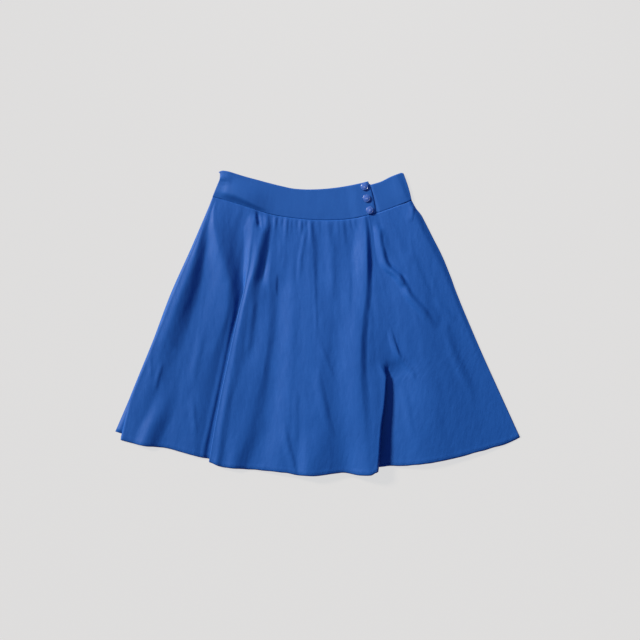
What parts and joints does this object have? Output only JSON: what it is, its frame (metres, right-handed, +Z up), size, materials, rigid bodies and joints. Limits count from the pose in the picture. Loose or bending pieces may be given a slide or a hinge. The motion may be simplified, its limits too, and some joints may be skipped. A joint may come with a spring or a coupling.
{
  "type": "a-line skirt",
  "caption": "Gathered a-line skirt laid flat, with a shaped waistband and a buttoned overlap at one side.",
  "frame": {"origin": "on the surface the skirt lies on, under the centre of its bounding box", "axes": "+X to the picture's right across the hem, +Y up the skirt to the waist, +Z up off the surface"},
  "size_m": [0.7484, 0.563, 0.0208],
  "materials": {
    "skirt_cloth": "matte plain weave",
    "band_cloth": "matte plain weave, interfaced",
    "button": "satin"
  },
  "bodies": {
    "root": {"skirt_back": "skirt_cloth", "skirt_front": "skirt_cloth", "band_back": "band_cloth", "band_front": "band_cloth", "band_underlap": "band_cloth", "button_1": "button", "button_2": "button", "button_3": "button"}
  },
  "joints": []
}
